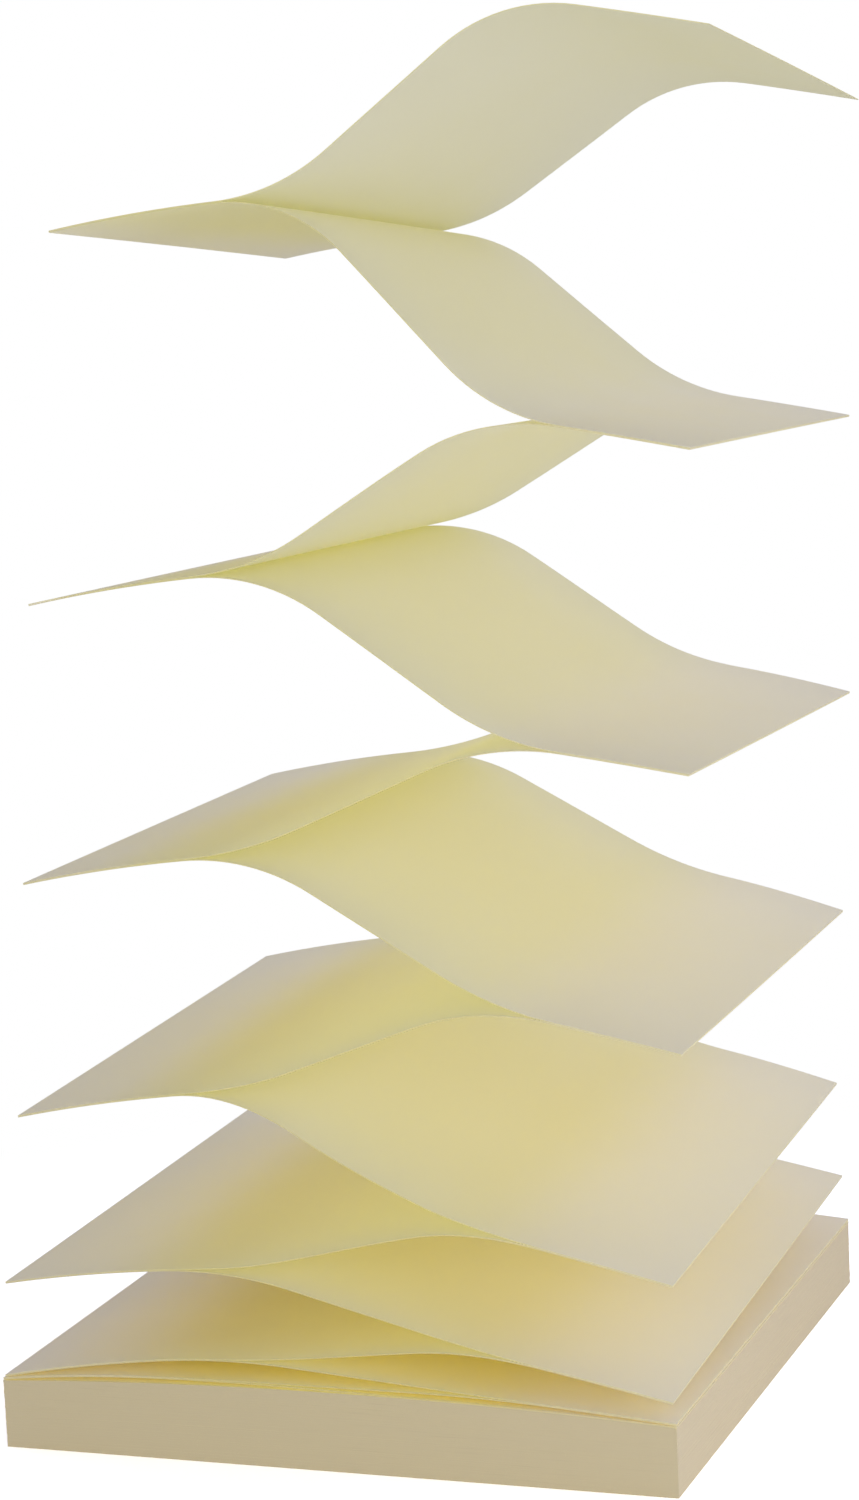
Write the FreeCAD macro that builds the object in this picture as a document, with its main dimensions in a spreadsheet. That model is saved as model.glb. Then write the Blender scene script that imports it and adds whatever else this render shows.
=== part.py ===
import FreeCAD, Part
import math
import os
import Sketcher

# A pad of square notes, each stuck to the next along one edge, left and right in turn.
# Fourteen sheets are drawn up out of the block, so that they stand above it in a zigzag.
# X runs from the left bands to the right bands, Y along the bands and Z up.
# The origin is the middle of the block's underside.

doc = FreeCAD.newDocument("sticky_note_pad")
sizes = doc.addObject("Spreadsheet::Sheet", "Sizes")

# Driving sizes in millimetres, angles in degrees
general_sizes = [
    ("sheet_side", 76, "side of every square sheet"),
    ("sheet_thickness", 0.1, "one sheet of note paper"),
    ("adhesive_film", 0.02, "film between two stuck sheets"),
    ("block_edge_height", 7.5, "height of the block at its left and right edges"),
    ("crown_radius", 610, "curl of the block's top and of the right bands"),
    ("left_band_radius", 180, "curl of the left bands"),
    ("left_band_width", 18.5, "stuck width at the left edges"),
    ("right_band_width", 13.5, "stuck width at the right edges"),
    ("peel_length", 13.5, "bend in which the upper sheet leaves its band"),
    ("crest_length", 15, "bend in which a sheet rolls over into the band it carries"),
    ("free_edge_lean", 11.5, "droop of the top sheet's free edge"),
    ("settled_lean", 1.5, "lean of the lowest right band beyond the block's own edge"),
    ("settled_lift", 0.1, "slope of the lowest sheet over the dome of the block"),
    ("settled_gap", 0.1, "gap left under the far edges of sheets 12 to 14"),
]

# The lifted sheets from the top down: the lean of the band that the sheet is stuck down by,
# and the steepest slope of its free span at the front and at the back edge
lifted_sheets = [
    (10, 37, 33.5),
    (11, 47.5, 40.5),
    (11.5, 30.5, 30.5),
    (9.5, 35.5, 34),
    (12, 23.5, 21.5),
    (12.5, 31, 28.5),
    (12.5, 19, 17),
    (13.5, 28, 24.5),
    (10.5, 10.5, 14),
    (12, 14.5, 10),
    (12, 4.5, 10.5),
]

sheet_count = 14
row = 0


def put_size(alias, number, meaning):
    """one row of the sheet: what it is, its number and what it means"""
    global row
    row += 1
    sizes.set(f"A{row}", alias)
    sizes.set(f"B{row}", str(number))
    sizes.set(f"C{row}", meaning)
    sizes.setAlias(f"B{row}", alias)


for alias, number, meaning in general_sizes:
    put_size(alias, number, meaning)
for index, (lean, front, back) in enumerate(lifted_sheets, 1):
    put_size(f"lean_{index:02}", lean, f"lean of the band under sheet {index}")
    put_size(f"front_slope_{index:02}", front, f"steepest slope of sheet {index}, front edge")
    put_size(f"back_slope_{index:02}", back, f"steepest slope of sheet {index}, back edge")
doc.recompute()

# Formulas over the sheet. Each gives a plain number.
side = "Sizes.sheet_side"
thickness = "Sizes.sheet_thickness"
film = "Sizes.adhesive_film"
crown = "Sizes.crown_radius"
to_degrees = "* 180 / pi"

band_width = {"left": "Sizes.left_band_width", "right": "Sizes.right_band_width"}
band_radius = {"left": "Sizes.left_band_radius", "right": crown}
band_turn = {hand: f"({band_width[hand]} / {band_radius[hand]} {to_degrees})" for hand in band_width}

# The block's domed top meets its edge at this slope, and has flattened to the next one where
# a sheet's free span begins on it.
crown_edge = f"(asin({side} / 2 / {crown}) / 1 deg)"
crown_inside = f"({crown_edge} - ({band_width['right']} + Sizes.peel_length) / {crown} {to_degrees})"

# Lean of the band under each sheet. The lowest three follow the block that they lie on.
lean = {index: f"Sizes.lean_{index:02}" for index in range(1, 12)}
lean[12] = f"({crown_edge} + Sizes.settled_lean)"
lean[14] = crown_edge
lean[0] = "Sizes.free_edge_lean"

straight = " - ".join([side, *band_width.values(), "Sizes.peel_length", "Sizes.crest_length"])
free_span = f"(Sizes.peel_length / 2 + ({straight}) + Sizes.crest_length / 2)"


def hands(index):
    """the side a sheet is stuck down by, and the side that carries the next sheet"""
    return ("left", "right") if index % 2 else ("right", "left")


def leaves_at(index):
    """slope at which a sheet leaves the band that it is stuck down by"""
    return f"({lean[index]} - {band_turn[hands(index)[0]]})"


def arrives_at(index):
    """slope, downwards, at which a sheet meets the band that it carries"""
    return f"({lean[index - 1]} - {band_turn[hands(index)[1]]})"


def banded_rise(index):
    """rise of a nearly flat sheet over its bands and bends, but for its steepest slope's share"""
    own, other = hands(index)
    climb = f"{band_width[own]} * ({lean[index]} + {leaves_at(index)}) / 2"
    fall = f"{band_width[other]} * ({lean[index - 1]} + {arrives_at(index)}) / 2"
    bends = f"(Sizes.peel_length * {leaves_at(index)} - Sizes.crest_length * {arrives_at(index)}) / 2"
    return f"({climb} - {fall} + {bends})"


def far_edge_lean():
    """lean of the lowest sheet's far edge that leaves a small gap over the block's corner"""
    climb = f"{band_width['right']} * ({lean[14]} + {leaves_at(14)}) / 2"
    peel = f"Sizes.peel_length * {leaves_at(14)} / 2"
    curl = f"{band_turn['left']} * ({band_width['left']} + Sizes.crest_length) / 2"
    span = f"{free_span} * {slope[14]['front']}"
    total = f"({climb} + {peel} + {curl} + {span} - Sizes.settled_gap {to_degrees})"
    return f"({total} / ({band_width['left']} + Sizes.crest_length / 2))"


def settled_slope(index):
    """slope that brings a sheet's far edge down to a small gap over the sheet below"""
    both = f"{banded_rise(index)} + {banded_rise(index + 1)}"
    return f"((Sizes.settled_gap {to_degrees} - ({both})) / {free_span} - {slope[index + 1]['front']})"


# Steepest slope of each sheet. The lowest three settle on what is under them.
ends = {"front": 1, "middle": 0, "back": -1}
slope = {14: {end: f"({crown_inside} + Sizes.settled_lift)" for end in ends}}
lean[13] = far_edge_lean()
for index in (13, 12):
    slope[index] = {end: settled_slope(index) for end in ends}
for index in range(1, 12):
    front, back = (f"Sizes.{end}_slope_{index:02}" for end in ("front", "back"))
    slope[index] = {"front": front, "middle": f"(({front} + {back}) / 2)", "back": back}


def number_of(formula):
    """the number that a formula gives with the sheet's present sizes"""
    return float(sizes.evalExpression(formula))


def origin_plane(body, role):
    """one of a body's own origin planes"""
    return next(plane for plane in body.Origin.OriginFeatures if plane.Role == role)


def bind(sketch, name, formula, *constraint):
    """a named sketch dimension that follows a formula"""
    place = sketch.addConstraint(Sketcher.Constraint(*constraint))
    sketch.renameConstraint(place, name)
    sketch.setExpression(f"Constraints.{name}", formula)


def new_sketch(body, name, plane):
    """an empty sketch on one of the body's own planes"""
    sketch = body.newObject("Sketcher::SketchObject", name)
    sketch.AttachmentSupport = [(origin_plane(body, plane), "")]
    sketch.MapMode = "FlatFace"
    return sketch


def make_block():
    """the sheets that still lie together: square, with a shallow dome on top"""
    body = doc.addObject("PartDesign::Body", "pad_block")
    body.Label = "pad_block"
    sketch = new_sketch(body, "block_profile", "XZ_Plane")
    half = number_of(side) / 2
    height = number_of("Sizes.block_edge_height")
    radius = number_of(crown)
    rise = radius - math.sqrt(radius**2 - half**2)
    corners = [(-half, height), (-half, 0), (half, 0), (half, height)]
    points = [FreeCAD.Vector(x, z, 0) for x, z in corners]
    walls = [sketch.addGeometry(Part.LineSegment(a, b), False) for a, b in zip(points, points[1:])]
    top_middle = FreeCAD.Vector(0, height + rise, 0)
    dome = sketch.addGeometry(Part.Arc(points[3], top_middle, points[0]), False)
    left, base, right = walls
    sketch.addConstraint([
        Sketcher.Constraint("Coincident", left, 2, base, 1),
        Sketcher.Constraint("Coincident", base, 2, right, 1),
        Sketcher.Constraint("Coincident", right, 2, dome, 1),
        Sketcher.Constraint("Coincident", dome, 2, left, 1),
        Sketcher.Constraint("Horizontal", base),
        Sketcher.Constraint("Vertical", left),
        Sketcher.Constraint("Vertical", right),
        Sketcher.Constraint("Symmetric", base, 1, base, 2, -1, 1),
    ])
    bind(sketch, "side", f"{side} * 1 mm", "Distance", base, 2 * half)
    bind(sketch, "edge_height", "Sizes.block_edge_height * 1 mm", "Distance", right, height)
    bind(sketch, "crown", f"{crown} * 1 mm", "Radius", dome, radius)
    pad = body.newObject("PartDesign::Pad", "block_pad")
    pad.Profile = sketch
    pad.SideType = "Symmetric"
    pad.setExpression("Length", f"{side} * 1 mm")
    return body


def sheet_runs(index, end):
    """length and turn of the stretches of one sheet's edge, from the band it is stuck down by"""
    own, other = hands(index)
    steepest = slope[index][end]
    own_length = f"(({band_radius[own]} + {film}) * {band_turn[own]} * pi / 180)"
    other_length = f"(({band_radius[other]} - {thickness}) * {band_turn[other]} * pi / 180)"
    return [
        ("band", own_length, f"(-{band_turn[own]})"),
        ("peel", "Sizes.peel_length", f"({steepest} - {leaves_at(index)})"),
        ("run", f"({straight})", "0"),
        ("crest", "Sizes.crest_length", f"(-({steepest} + {arrives_at(index)}))"),
        ("carry", other_length, f"(-{band_turn[other]})"),
    ]


def edge_line(runs, start, heading, across, offset):
    """the curves of one face of a sheet: arcs and a straight, each with the point it starts from"""
    curves = []
    x, z = start
    angle = math.radians(heading)

    def point(px, pz, at):
        return FreeCAD.Vector(px - across * offset * math.sin(at), pz + offset * math.cos(at), 0)

    for name, length, turn in runs:
        length = number_of(length)
        after = angle + math.radians(number_of(turn))
        middle = (angle + after) / 2
        if after == angle:
            next_x = x + across * length * math.cos(angle)
            next_z = z + length * math.sin(angle)
            first = point(x, z, angle)
            curve = Part.LineSegment(first, point(next_x, next_z, angle))
        else:
            radius = length / (after - angle)
            centre_x = x - across * radius * math.sin(angle)
            centre_z = z + radius * math.cos(angle)
            middle_x = centre_x + across * radius * math.sin(middle)
            middle_z = centre_z - radius * math.cos(middle)
            next_x = centre_x + across * radius * math.sin(after)
            next_z = centre_z - radius * math.cos(after)
            first = point(x, z, angle)
            through = point(middle_x, middle_z, middle)
            curve = Part.Arc(first, through, point(next_x, next_z, after))
        curves.append((curve, first))
        x, z, angle = next_x, next_z, after
    return curves


def sheet_section(body, index, end, start_formulas):
    """the section of one sheet in front, in the middle or at the back, as a closed sketch"""
    across = 1 if index % 2 else -1
    towards_viewer = ends[end]
    sketch = new_sketch(body, f"sheet_{index:02}_{end}", "XZ_Plane")
    half_depth = number_of(side) / 2
    shift = FreeCAD.Vector(0, 0, towards_viewer * half_depth)
    sketch.AttachmentOffset = FreeCAD.Placement(shift, FreeCAD.Rotation())
    sketch.setExpression("AttachmentOffset.Base.z", f"{towards_viewer} * {side} / 2 * 1 mm")

    runs = sheet_runs(index, end)
    heading = number_of(lean[index])
    start = [number_of(formula) for formula in start_formulas]
    faces = []
    for offset in (0, number_of(thickness)):
        stretches = []
        for curve, first in edge_line(runs, start, heading, across, offset):
            place = sketch.addGeometry(curve, False)
            begins = 1 if sketch.getPoint(place, 1).isEqual(first, 1e-6) else 2
            stretches.append((place, begins, 3 - begins))
        faces.append(stretches)
    under, upper = faces

    def cut(lower_end, upper_end):
        """the sheet's cut edge, square across its thickness"""
        line = Part.LineSegment(sketch.getPoint(*lower_end), sketch.getPoint(*upper_end))
        place = sketch.addGeometry(line, False)
        sketch.addConstraint([
            Sketcher.Constraint("Coincident", place, 1, *lower_end),
            Sketcher.Constraint("Coincident", place, 2, *upper_end),
        ])
        return place

    first_cut = cut(under[0][:2], upper[0][:2])
    cut(under[-1][::2], upper[-1][::2])
    for stretches in faces:
        for before, after in zip(stretches, stretches[1:]):
            joint = (before[0], before[2], after[0], after[1])
            sketch.addConstraint(Sketcher.Constraint("Tangent", *joint))
    for (name, length, turn), low, high in zip(runs, under, upper):
        if name == "run":
            bind(sketch, "run_length", f"{length} * 1 mm", "Distance", low[0], number_of(length))
            continue
        sketch.addConstraint(Sketcher.Constraint("Coincident", low[0], 3, high[0], 3))
        radius = f"abs({length} / ({turn} * pi / 180)) * 1 mm"
        bind(sketch, f"{name}_radius", radius, "Radius", low[0], number_of(f"{radius} / 1 mm"))
        turned = math.radians(abs(number_of(turn)))
        bind(sketch, f"{name}_turn", f"abs({turn}) * 1 deg", "Angle", low[0], turned)
    carried = upper[-1]
    turned = math.radians(number_of(band_turn[hands(index)[1]]))
    bind(sketch, "upper_carry_turn", f"abs({runs[-1][2]}) * 1 deg", "Angle", carried[0], turned)

    square_to_band = f"(90 + {across} * {lean[index]})"
    direction = math.radians(number_of(square_to_band))
    bind(sketch, "start_angle", f"{square_to_band} * 1 deg", "Angle", -1, 1, first_cut, 1, direction)
    bind(sketch, "thickness", f"{thickness} * 1 mm", "Distance", first_cut, number_of(thickness))
    foot = under[0][:2]
    bind(sketch, "start_x", f"{start_formulas[0]} * 1 mm", "DistanceX", -1, 1, *foot, start[0])
    bind(sketch, "start_z", f"{start_formulas[1]} * 1 mm", "DistanceY", -1, 1, *foot, start[1])

    # Where the sheet above stands: measured off this sketch, and driven by all of it
    seat = carried[::2]
    seat_point = sketch.getPoint(*seat)
    for name, kind, measure in (("seat_x", "DistanceX", seat_point.x), ("seat_z", "DistanceY", seat_point.y)):
        place = sketch.addConstraint(Sketcher.Constraint(kind, -1, 1, *seat, measure))
        sketch.setDriving(place, False)
        sketch.renameConstraint(place, name)
    return sketch


def start_on(seat_x, seat_z, index):
    """formulas for a sheet's lowest corner, one film's thickness off the surface that it is stuck to"""
    across = 1 if index % 2 else -1
    x = f"({seat_x} - {across} * {film} * sin({lean[index]} * 1 deg))"
    z = f"({seat_z} + {film} * cos({lean[index]} * 1 deg))"
    return x, z


def make_sheet(index, seats):
    """one note: a ruled loft through its front, middle and back sections"""
    label = f"note_{index:02}"
    body = doc.addObject("PartDesign::Body", label)
    body.Label = label
    sections = []
    for end in ends:
        sections.append(sheet_section(body, index, end, start_on(*seats[end], index)))
    loft = body.newObject("PartDesign::AdditiveLoft", f"{label}_loft")
    loft.Profile = sections[0]
    loft.Sections = sections[1:]
    loft.Ruled = True
    loft.Refine = False
    doc.recompute()
    next_seats = {}
    for end, sketch in zip(ends, sections):
        next_seats[end] = [f"({sketch.Name}.Constraints.seat_{axis} / 1 mm)" for axis in "xz"]
    return body, next_seats


parts = [make_block()]
doc.recompute()
block_corner = [f"({side} / 2)", "Sizes.block_edge_height"]
seats = {end: block_corner for end in ends}
for index in range(sheet_count, 0, -1):
    note, seats = make_sheet(index, seats)
    parts.append(note)

doc.recompute()
for thing in doc.Objects:
    if "Invalid" in thing.State or "Error" in thing.State:
        raise RuntimeError(f"{thing.Label} did not build: {thing.State}")
for part in parts:
    if part.Shape.isNull() or not part.Shape.isValid() or len(part.Shape.Solids) != 1:
        raise RuntimeError(f"{part.Label} has no sound solid")

os.makedirs("parts", exist_ok=True)
for part in parts:
    part.Shape.exportStep(f"parts/{part.Label}.step")
    box = part.Shape.BoundBox
    print(f"{part.Label}: {box.XMin:.2f} to {box.XMax:.2f}, {box.ZMin:.2f} to {box.ZMax:.2f}")
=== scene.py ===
import math

import bmesh
import bpy
from mathutils import Matrix, Vector, noise


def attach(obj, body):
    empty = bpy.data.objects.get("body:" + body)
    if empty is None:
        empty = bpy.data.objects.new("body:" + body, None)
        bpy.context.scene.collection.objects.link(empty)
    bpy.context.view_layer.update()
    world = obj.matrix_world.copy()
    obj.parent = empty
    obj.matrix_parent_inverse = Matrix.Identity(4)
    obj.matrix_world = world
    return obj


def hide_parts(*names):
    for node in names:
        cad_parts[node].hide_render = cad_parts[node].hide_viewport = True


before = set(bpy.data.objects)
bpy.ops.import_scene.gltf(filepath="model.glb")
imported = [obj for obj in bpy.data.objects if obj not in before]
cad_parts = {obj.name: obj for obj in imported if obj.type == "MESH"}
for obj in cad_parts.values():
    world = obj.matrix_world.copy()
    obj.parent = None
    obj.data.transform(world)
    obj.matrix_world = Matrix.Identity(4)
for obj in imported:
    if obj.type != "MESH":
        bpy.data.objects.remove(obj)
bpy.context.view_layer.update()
mm = 0.001
print("frame loaded,", len(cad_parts), "nodes")


# Sizes of the pad, in millimetres and degrees
pad = {
    "side": 76,
    "sheet": 0.1,
    "film": 0.02,
    "edgeHeight": 7.5,
    "crown": 610,
    "leftCurl": 180,
    "leftBand": 18.5,
    "rightBand": 13.5,
    "peel": 13.5,
    "crest": 15,
    "freeLean": 11.5,
    "settledLean": 1.5,
    "settledLift": 0.1,
    "settledGap": 0.1,
}
# From the top sheet down: lean of the band under it, steepest slope in front and at the back
lifted = [
    (10, 37, 33.5),
    (11, 47.5, 40.5),
    (11.5, 30.5, 30.5),
    (9.5, 35.5, 34),
    (12, 23.5, 21.5),
    (12.5, 31, 28.5),
    (12.5, 19, 17),
    (13.5, 28, 24.5),
    (10.5, 10.5, 14),
    (12, 14.5, 10),
    (12, 4.5, 10.5),
]
lowest = 14

width = {"left": pad["leftBand"], "right": pad["rightBand"]}
curl = {"left": pad["leftCurl"], "right": pad["crown"]}
turn = {hand: math.degrees(width[hand] / curl[hand]) for hand in width}
crownEdge = math.degrees(math.asin(pad["side"] / 2 / pad["crown"]))
crownInside = crownEdge - math.degrees((width["right"] + pad["peel"]) / pad["crown"])
run = pad["side"] - sum(width.values()) - pad["peel"] - pad["crest"]
freeSpan = pad["peel"] / 2 + run + pad["crest"] / 2

lean = {index: row[0] for index, row in enumerate(lifted, 1)}
lean.update({0: pad["freeLean"], 12: crownEdge + pad["settledLean"], 14: crownEdge})
slope = {
    index: {"front": front, "middle": (front + back) / 2, "back": back}
    for index, (below, front, back) in enumerate(lifted, 1)
}


def hands(index):
    # the side on which a sheet is stuck to the one below, and the one on which it carries the next
    return ("left", "right") if index % 2 else ("right", "left")


def leaves(index):
    # slope at which a sheet leaves its lower band
    return lean[index] - turn[hands(index)[0]]


def arrives(index):
    # slope, down and outward, at which it comes to its upper band
    return lean[index - 1] - turn[hands(index)[1]]


def bandedRise(index):
    # rise of a sheet's bands and bends, in millimetres times degrees
    own, other = hands(index)
    climb = width[own] * (lean[index] + leaves(index)) / 2
    fall = width[other] * (lean[index - 1] + arrives(index)) / 2
    return climb - fall + (pad["peel"] * leaves(index) - pad["crest"] * arrives(index)) / 2


# The lowest three sheets settle on what is under them
settled = {14: crownInside + pad["settledLift"]}
total = width["right"] * (lean[14] + leaves(14)) / 2 + pad["peel"] * leaves(14) / 2
total += turn["left"] * (width["left"] + pad["crest"]) / 2
total += freeSpan * settled[14] - math.degrees(pad["settledGap"])
lean[13] = total / (width["left"] + pad["crest"] / 2)
for index in (13, 12):
    rises = bandedRise(index) + bandedRise(index + 1)
    settled[index] = (math.degrees(pad["settledGap"]) - rises) / freeSpan - settled[index + 1]
for index, steepest in settled.items():
    slope[index] = {end: steepest for end in slope[1]}


# How many parts each stretch of a sheet is divided into
cuts = {"band": 10, "bend": 14, "straight": 12, "deep": 28}


def offPath(station, across, distance):
    # the point that lies this far above a sheet's underside
    x, z, heading = station
    angle = math.radians(heading)
    return x - across * distance * math.sin(angle), z + distance * math.cos(angle)


def edgePath(index, end, seat):
    # underside of one sheet in front, in the middle or at the back: x, z and heading
    across = 1 if index % 2 else -1
    own, other = hands(index)
    steepest = slope[index][end]
    bandLength = (curl[own] + pad["film"]) * math.radians(turn[own])
    carryLength = (curl[other] - pad["sheet"]) * math.radians(turn[other])
    stretches = [
        (cuts["band"], bandLength, lean[index], leaves(index)),
        (cuts["bend"], pad["peel"], leaves(index), steepest),
        (cuts["straight"], run, steepest, steepest),
        (cuts["bend"], pad["crest"], steepest, -arrives(index)),
        (cuts["band"], carryLength, -arrives(index), -lean[index - 1]),
    ]
    x, z = offPath((*seat, lean[index]), across, pad["film"])
    stations = [(x, z, lean[index])]
    for steps, length, first, last in stretches:
        for step in range(steps):
            before = first + (last - first) * step / steps
            after = first + (last - first) * (step + 1) / steps
            half = math.radians(after - before) / 2
            chord = length / steps * (math.sin(half) / half if half else 1)
            middle = math.radians((before + after) / 2)
            x += across * chord * math.cos(middle)
            z += chord * math.sin(middle)
            stations.append((x, z, after))
    return stations


def freeShare(station):
    # how far along its free span a station is, 0 and 1 on the bands
    free = 2 * cuts["bend"] + cuts["straight"]
    return min(max((station - cuts["band"]) / free, 0), 1)


sharpAngle = math.radians(35)


def addPiece(name, vertices, faces, material, node):
    # a closed mesh in place of one CAD node, with its vertices given in millimetres
    mesh = bpy.data.meshes.new(name)
    mesh.from_pydata([Vector(v) * mm for v in vertices], [], faces)
    shape = bmesh.new()
    shape.from_mesh(mesh)
    bmesh.ops.recalc_face_normals(shape, faces=shape.faces)
    shape.to_mesh(mesh)
    shape.free()
    mesh.shade_smooth()
    mesh.set_sharp_from_angle(angle=sharpAngle)
    mesh.materials.append(material)
    piece = bpy.data.objects.new(name, mesh)
    bpy.context.collection.objects.link(piece)
    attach(piece, "root")
    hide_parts(node)


class Signal:
    # one value in a shader, so that sums on it read like sums
    def __init__(self, socket):
        self.socket = socket

    def maths(self, operation, *values):
        node = self.socket.id_data.nodes.new("ShaderNodeMath")
        node.operation = operation
        for place, value in zip(node.inputs, values):
            join(place, value)
        return Signal(node.outputs[0])

    def __add__(self, other):
        return self.maths("ADD", self, other)

    __radd__ = __add__

    def __sub__(self, other):
        return self.maths("SUBTRACT", self, other)

    def __rsub__(self, other):
        return self.maths("SUBTRACT", other, self)

    def __mul__(self, other):
        return self.maths("MULTIPLY", self, other)

    __rmul__ = __mul__

    def size(self):
        return self.maths("ABSOLUTE", self)


def join(place, value):
    if isinstance(value, Signal):
        place.id_data.links.new(value.socket, place)
    else:
        place.default_value = value


grainDepth = 0.05 * mm


class Graph:
    # the nodes of one material or of the world
    def __init__(self, tree):
        self.tree = tree
        tree.nodes.clear()

    def node(self, kind, settings=None, values=None, output=0):
        made = self.tree.nodes.new(f"ShaderNode{kind}")
        for name, setting in (settings or {}).items():
            setattr(made, name, setting)
        for name, value in (values or {}).items():
            join(made.inputs[name], value)
        return Signal(made.outputs[output])

    def mixColours(self, factor, first, second):
        return self.node("Mix", {"data_type": "RGBA"}, {0: factor, 6: first, 7: second}, 2)

    def mixShaders(self, factor, first, second):
        return self.node("MixShader", None, {0: factor, 1: first, 2: second})

    def noise(self, place, scale, detail=3):
        return self.node("TexNoise", None, {"Vector": place, "Scale": scale, "Detail": detail})

    def steps(self, value, ends):
        # 0 below the first end, 1 above the second, smooth between them
        settings = {"interpolation_type": "SMOOTHSTEP"}
        values = {"Value": value, "From Min": ends[0], "From Max": ends[1]}
        return self.node("MapRange", settings, values)

    def place(self, stretch=(1, 1, 1)):
        point = self.node("TexCoord", output="Object")
        return self.node("VectorMath", {"operation": "MULTIPLY"}, {0: point, 1: stretch})

    def along(self, axis):
        return self.node("SeparateXYZ", None, {"Vector": self.place()}, axis)

    def upright(self):
        # how far the surface faces up
        normal = self.node("NewGeometry", output="Normal")
        return self.node("SeparateXYZ", None, {"Vector": normal}, "Z")

    def bump(self, height, share):
        values = {"Strength": share, "Distance": grainDepth, "Height": height}
        return self.node("Bump", None, values)

    def show(self, surface, kind="OutputMaterial"):
        out = self.tree.nodes.new(f"ShaderNode{kind}")
        join(out.inputs["Surface"], surface)


def newMaterial(name):
    material = bpy.data.materials.new(name)
    material.use_nodes = True
    return material, Graph(material.node_tree)


# Note paper: a thin pale yellow sheet that lets some light through
paper = {
    "pale": (0.998, 0.976, 0.965, 1),
    "warm": (0.996, 0.97, 0.935, 1),
    "cloudScale": 45,
    "cloudEnds": (0.35, 0.65),
    # painted shade: the sheets' cut edges, which face sideways, get this darker colour in place of
    # the paper's own
    "cut": (0.86, 0.79, 0.6, 1),
    "cutEnds": (0.25, 0.5),
    "grainScale": 2600,
    "grainShare": 0.06,
    "smoothest": 0.54,
    "rougher": 0.12,
    "shine": 0.35,
    "through": (1, 0.97, 0.34, 1),
    "passes": 0.42,
    "bandPasses": 0.2,
    "bandEnds": (0.014, 0.027),
    "topEnds": (0.13, 0.14),
}


def makeNotePaper():
    material, graph = newMaterial("notePaper")
    cloud = graph.noise(graph.place(), paper["cloudScale"])
    grain = graph.noise(graph.place((1, 1, 2)), paper["grainScale"], 4)
    colour = graph.mixColours(graph.steps(cloud, paper["cloudEnds"]), paper["pale"], paper["warm"])
    # painted shade on the cut edges: faces that point sideways take the darker colour, faces that
    # point up or down the paper's own
    flat = graph.steps(graph.upright().size(), paper["cutEnds"])
    face = graph.node("BsdfPrincipled", None, {
        "Base Color": graph.mixColours(flat, paper["cut"], colour),
        "Roughness": paper["smoothest"] + paper["rougher"] * grain,
        "Specular IOR Level": paper["shine"],
        "Normal": graph.bump(grain, paper["grainShare"]),
    })
    beyond = graph.node("BsdfTranslucent", None, {"Color": paper["through"]})
    # two sheets stuck together let less light through, which the top sheet's free edge isn't
    banded = graph.steps(graph.along("X").size(), paper["bandEnds"])
    banded = banded * (1 - graph.steps(graph.along("Z"), paper["topEnds"]))
    passes = paper["passes"] - (paper["passes"] - paper["bandPasses"]) * banded
    sheet = graph.mixShaders(passes, face, beyond)
    inside = graph.node("NewGeometry", output="Backfacing")
    graph.show(graph.mixShaders(inside, sheet, graph.node("BsdfTransparent")))
    return material


# Block paper: the cut edges of many sheets, painted darker and greyer than the top as painted shade
# on the block's sides
block = {
    "face": (0.998, 0.96, 0.70, 1),
    # painted shade: the block's sides get this darker colour, its top the paler face colour
    "edge": (0.74, 0.645, 0.47, 1),
    "line": (0.63, 0.54, 0.385, 1),
    "topEnds": (0.6, 0.95),
    "lineScale": 5200,
    "lineEnds": (0.56, 0.74),
    "patchScale": 60,
    "patchEnds": (0.4, 0.7),
    "lineShare": 0.5,
    "grainScale": 2600,
    "grainShare": 0.08,
    "smoothest": 0.7,
    "rougher": 0.1,
    "shine": 0.2,
}


def makeBlockPaper():
    material, graph = newMaterial("blockPaper")
    sheets = graph.noise(graph.place((0.02, 0.02, 1)), block["lineScale"], 2)
    patches = graph.noise(graph.place((1, 1, 3)), block["patchScale"])
    faint = graph.steps(sheets, block["lineEnds"]) * graph.steps(patches, block["patchEnds"])
    # the sides take the darker colour as painted shade, with faint lines between the sheets; faces
    # that point up get the paler face colour
    side = graph.mixColours(block["lineShare"] * faint, block["edge"], block["line"])
    top = graph.steps(graph.upright(), block["topEnds"])
    grain = graph.noise(graph.place((1, 1, 4)), block["grainScale"])
    graph.show(graph.node("BsdfPrincipled", None, {
        "Base Color": graph.mixColours(top, side, block["face"]),
        "Roughness": block["smoothest"] + block["rougher"] * grain,
        "Specular IOR Level": block["shine"],
        "Normal": graph.bump(grain, block["grainShare"]),
    }))
    return material


notePaper = makeNotePaper()
blockPaper = makeBlockPaper()
print("materials made")


# The notes, in millimetres: how far a front edge sways off its plain curve near its lower and
# its upper band, how far the far corner of a right band droops, and how wavy a sheet is at most
shapes = {
    "sways": {3: (0, 0.72), 7: (-0.84, 0.96), 8: (-0.72, -2.04), 9: (-1.2, 1.44), 11: (-1.2, 0.84)},
    "droops": {4: 0.7, 6: 0.75, 8: 0.5},
    "droopPower": 1.5,
    "waviest": 0.15,
    "wavierBy": 0.03,
    "highestStill": 12,
    "swellScale": (1.6, 1.4, 5.3),
}


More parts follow.
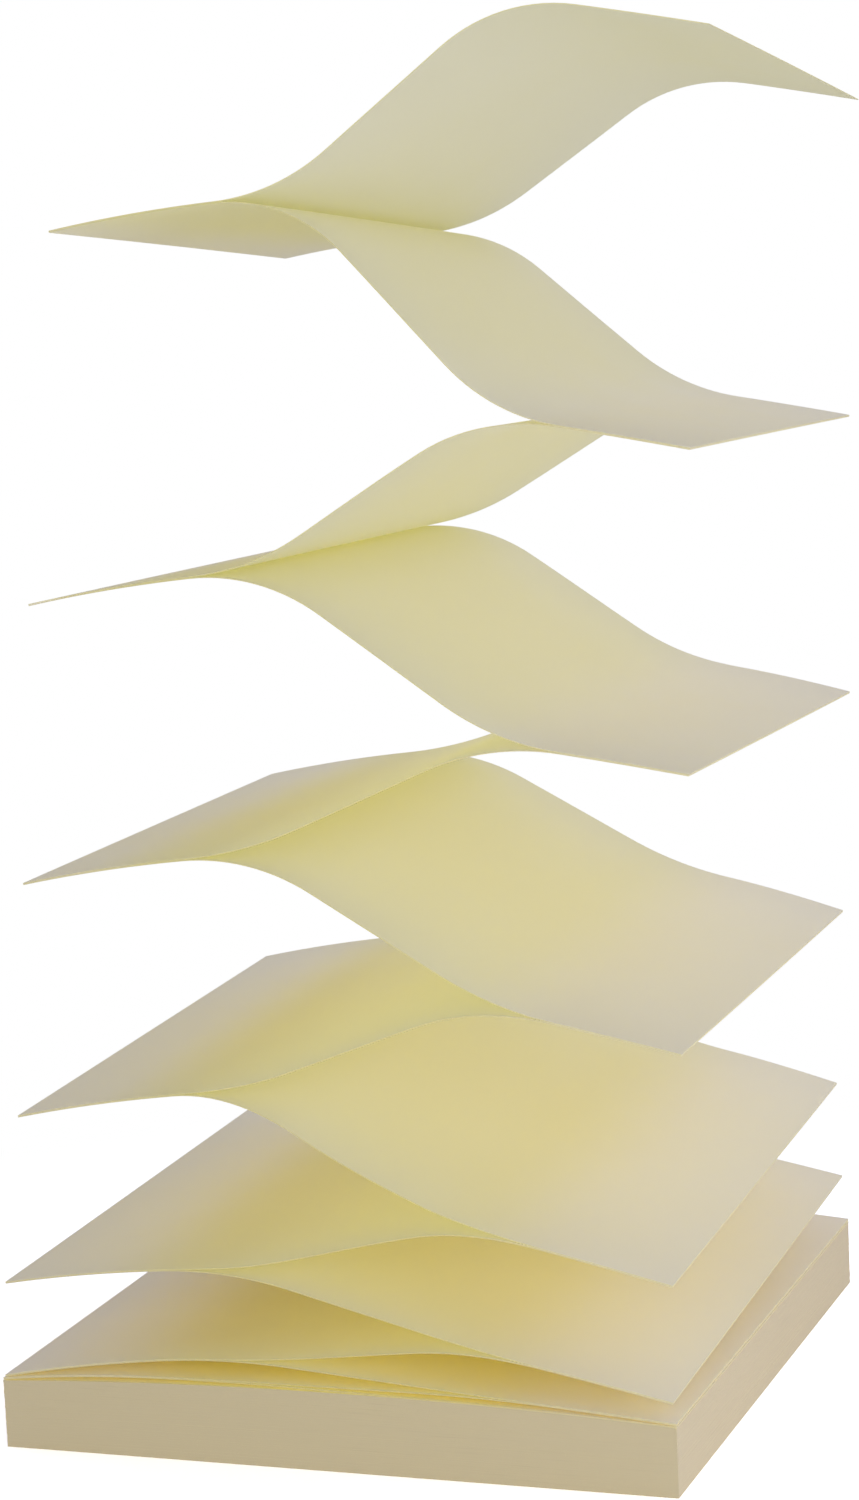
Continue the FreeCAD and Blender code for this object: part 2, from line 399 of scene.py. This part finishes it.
def makeNote(index, paths, wave):
    # one sheet through its front, middle and back path, with a slight waviness in its free span
    across = 1 if index % 2 else -1
    lower, upper = shapes["sways"].get(index, (0, 0))
    droop = shapes["droops"].get(index - index % 2, 0)
    acrossScale, deepScale, sheetScale = shapes["swellScale"]
    grids = []
    for lift in (0, pad["sheet"]):
        grid = []
        for station, along in enumerate(zip(*paths)):
            share = freeShare(station)
            window = math.sin(math.pi * share) ** 2
            heading = along[1][2]
            points = [offPath(place, across, lift) for place in along]
            for column in range(cuts["deep"] + 1):
                deep = column / cuts["deep"]
                weights = (1 - deep) * (1 - 2 * deep), 4 * deep * (1 - deep), deep * (2 * deep - 1)
                x, z = (
                    sum(w * point[axis] for w, point in zip(weights, points)) for axis in (0, 1)
                )
                spot = Vector((acrossScale * share, deepScale * deep, sheetScale * index))
                swell = noise.noise(spot)
                sway = (1 - deep) * (lower * (1 - share) + upper * share)
                x, z = offPath((x, z, heading), across, window * (wave * swell + sway))
                outward = max(0, 1 + (x - pad["side"] / 2) / pad["rightBand"])
                z -= droop * deep * outward ** shapes["droopPower"]
                grid.append((x, (deep - 0.5) * pad["side"], z))
        grids.append(grid)
    rows, columns = len(paths[0]), cuts["deep"] + 1
    top = rows * columns
    faces = []
    for row in range(rows - 1):
        for column in range(columns - 1):
            a = row * columns + column
            b, c, d = a + 1, a + columns + 1, a + columns
            faces += [(a, b, c, d), (a + top, d + top, c + top, b + top)]
    rim = list(range(columns))
    rim += [row * columns + columns - 1 for row in range(1, rows)]
    rim += [(rows - 1) * columns + column for column in range(columns - 2, -1, -1)]
    rim += [row * columns for row in range(rows - 2, 0, -1)]
    for a, b in zip(rim, rim[1:] + rim[:1]):
        faces.append((a, a + top, b + top, b))
    name = f"note_{index:02}"
    addPiece(f"{name}_sheet", grids[0] + grids[1], faces, notePaper, name)


seats = {end: (pad["side"] / 2, pad["edgeHeight"]) for end in slope[1]}
for index in range(lowest, 0, -1):
    paths = {end: edgePath(index, end, seat) for end, seat in seats.items()}
    above = max(shapes["highestStill"] - index, 0)
    makeNote(index, list(paths.values()), min(shapes["waviest"], shapes["wavierBy"] * above))
    across = 1 if index % 2 else -1
    seats = {end: offPath(path[-1], across, pad["sheet"]) for end, path in paths.items()}
print("notes made")


# The block: sheets that still lie together, each cut a hair longer or shorter than the next
stack = {"sheets": 75, "parts": 38, "slack": 0.03, "inset": 0.02, "drift": 0.4, "jump": 0.73}


def outline(parts):
    # corners and steps of a unit square, counterclockwise from the front left
    steps = [step / parts for step in range(parts)]
    points = [(s, 0) for s in steps] + [(1, s) for s in steps]
    return points + [(1 - s, 1) for s in steps] + [(0, 1 - s) for s in steps]


def makeBlock():
    half = pad["side"] / 2
    square = [(2 * x - 1, 2 * y - 1) for x, y in outline(stack["parts"])]
    rim = len(square)

    def domeHeight(x):
        atEdge = math.sqrt(pad["crown"] ** 2 - half**2)
        return math.sqrt(pad["crown"] ** 2 - (x * half) ** 2) - atEdge

    vertices = []
    faces = []
    rows = 0
    for sheet in range(stack["sheets"]):
        for edge in (0, 1):
            share = (sheet + edge) / stack["sheets"]
            for x, y in square:
                spot = Vector((x * stack["drift"], y * stack["drift"], sheet * stack["jump"]))
                inset = stack["inset"] + stack["slack"] * (0.5 + noise.noise(spot))
                if sheet == stack["sheets"] - 1:
                    inset = 0
                size = half - inset
                height = share * (pad["edgeHeight"] + domeHeight(x))
                vertices.append((x * size, y * size, height))
            rows += 1
    for row in range(rows - 1):
        for a in range(rim):
            b = (a + 1) % rim
            faces.append((row * rim + a, row * rim + b, (row + 1) * rim + b, (row + 1) * rim + a))
    faces.append(tuple(range(rim - 1, -1, -1)))

    # the top is a grid whose outer ring is the last row of the sides
    parts = stack["parts"]
    ring = {}
    for place, (x, y) in enumerate(outline(parts)):
        ring[round(x * parts), round(y * parts)] = (rows - 1) * rim + place
    for i in range(1, parts):
        for j in range(1, parts):
            x, y = 2 * i / parts - 1, 2 * j / parts - 1
            ring[i, j] = len(vertices)
            vertices.append((x * half, y * half, pad["edgeHeight"] + domeHeight(x)))
    for i in range(parts):
        for j in range(parts):
            faces.append((ring[i, j], ring[i + 1, j], ring[i + 1, j + 1], ring[i, j + 1]))
    addPiece("pad_block_stack", vertices, faces, blockPaper, "pad_block")


makeBlock()
print("block made")


# Floor: what the camera sees of it near the pad takes the shadow, and farther out it is white
ground = {
    "reach": 3,
    "lit": (0.98, 0.98, 0.98, 1),
    "shown": (2.4, 2.43, 2.55, 1),  # above 1, so that it shows white in this soft light
    "whiteEnds": (0.05, 0.12),
}
white = {"Color": (1, 1, 1, 1), "Strength": 1}


def makeFloor():
    mesh = bpy.data.meshes.new("floor")
    reach = ground["reach"]
    corners = [(-reach, -reach, 0), (reach, -reach, 0), (reach, reach, 0), (-reach, reach, 0)]
    mesh.from_pydata(corners, [], [(0, 1, 2, 3)])
    material, graph = newMaterial("paleFloor")
    distance = graph.node("VectorMath", {"operation": "LENGTH"}, {0: graph.place()}, "Value")
    near = 1 - graph.steps(distance, ground["whiteEnds"])
    lit = graph.node("BsdfDiffuse", None, {"Color": ground["lit"]})
    shown = graph.node("BsdfDiffuse", None, {"Color": ground["shown"]})
    seen = graph.mixShaders(near, graph.node("Emission", None, white), shown)
    camera = graph.node("LightPath", output="Is Camera Ray")
    graph.show(graph.mixShaders(camera, lit, seen))
    mesh.materials.append(material)
    floor = bpy.data.objects.new("floor", mesh)
    bpy.context.collection.objects.link(floor)


# Light from all round, and more of it from a few sides
around = {
    "even": 0.165,
    "colour": (0.985, 0.975, 1.12, 1),
    "sides": [((1, 0, 0.1), 0.40), ((-1, 0, 0.1), 0.25), ((0, 1, 0.1), 0.52)],
    "sideEnds": (0, 0.95),
}


def makeWorld():
    world = bpy.data.worlds.new("studio")
    world.use_nodes = True
    graph = Graph(world.node_tree)
    ahead = graph.node("TexCoord", output="Generated")
    strength = around["even"]
    for side, share in around["sides"]:
        places = {0: ahead, 1: side}
        facing = graph.node("VectorMath", {"operation": "DOT_PRODUCT"}, places, "Value")
        strength = strength + share * graph.steps(facing, around["sideEnds"])
    soft = graph.node("Background", None, {"Color": around["colour"], "Strength": strength})
    camera = graph.node("LightPath", output="Is Camera Ray")
    seen = graph.mixShaders(camera, soft, graph.node("Background", None, white))
    graph.show(seen, "OutputWorld")
    bpy.context.scene.world = world


# A large warm softbox in front, and a small one low on the right for the block's edges
lamps = {
    "softboxFront": {
        "place": (0.1, -0.6, 0.12),
        "target": (0, 0, 0.06),
        "size": 0.4,
        "watts": 1.15,
        "colour": (1, 0.99, 0.68),
    },
    "softboxLow": {
        "place": (0.26, -0.11, 0.035),
        "target": (0, 0, 0.01),
        "size": 0.1,
        "watts": 0.165,
        "colour": (1, 0.99, 0.9),
    },
}


def addLamp(name):
    choice = lamps[name]
    light = bpy.data.lights.new(name, "AREA")
    light.shape = "SQUARE"
    light.size = choice["size"]
    light.energy = choice["watts"]
    light.color = choice["colour"]
    lamp = bpy.data.objects.new(name, light)
    lamp.location = choice["place"]
    aim = Vector(choice["target"]) - Vector(choice["place"])
    lamp.rotation_euler = aim.to_track_quat("-Z", "Y").to_euler()
    lamp.visible_camera = False
    bpy.context.collection.objects.link(lamp)


makeFloor()
makeWorld()
for name in lamps:
    addLamp(name)
print("stage made")


# Camera at the photograph's place: millimetres, radians, the photograph's pixels, clip in metres
photo = {
    "place": (144.5926, -397.9725, 137.8708),
    "yaw": -0.3465,
    "pitch": 0.1566,
    "roll": -0.0464,
    "focal": 3827.83,
    "tall": 1500,
    "sensor": 36,
    "clip": (0.01, 20),
}


def makeCamera():
    yaw, pitch, roll = photo["yaw"], photo["pitch"], photo["roll"]
    ahead = Vector((
        math.sin(yaw) * math.cos(pitch),
        math.cos(yaw) * math.cos(pitch),
        -math.sin(pitch),
    ))
    level = Vector((math.cos(yaw), -math.sin(yaw), 0))
    above = level.cross(ahead)
    right = math.cos(roll) * level + math.sin(roll) * above
    up = math.cos(roll) * above - math.sin(roll) * level
    lens = bpy.data.cameras.new("camera")
    lens.sensor_width = photo["sensor"]
    lens.lens = photo["focal"] / photo["tall"] * photo["sensor"]
    lens.clip_start, lens.clip_end = photo["clip"]
    camera = bpy.data.objects.new("camera", lens)
    axes = Matrix((right, up, -ahead)).transposed().to_4x4()
    camera.matrix_world = Matrix.Translation(Vector(photo["place"]) * mm) @ axes
    bpy.context.collection.objects.link(camera)
    bpy.context.scene.camera = camera


makeCamera()

# Light bounces many times in the narrow gaps between the sheets
scene = bpy.context.scene
scene.view_settings.view_transform = "Standard"
scene.cycles.diffuse_bounces = 36
scene.cycles.max_bounces = 48
scene.cycles.transparent_max_bounces = 40
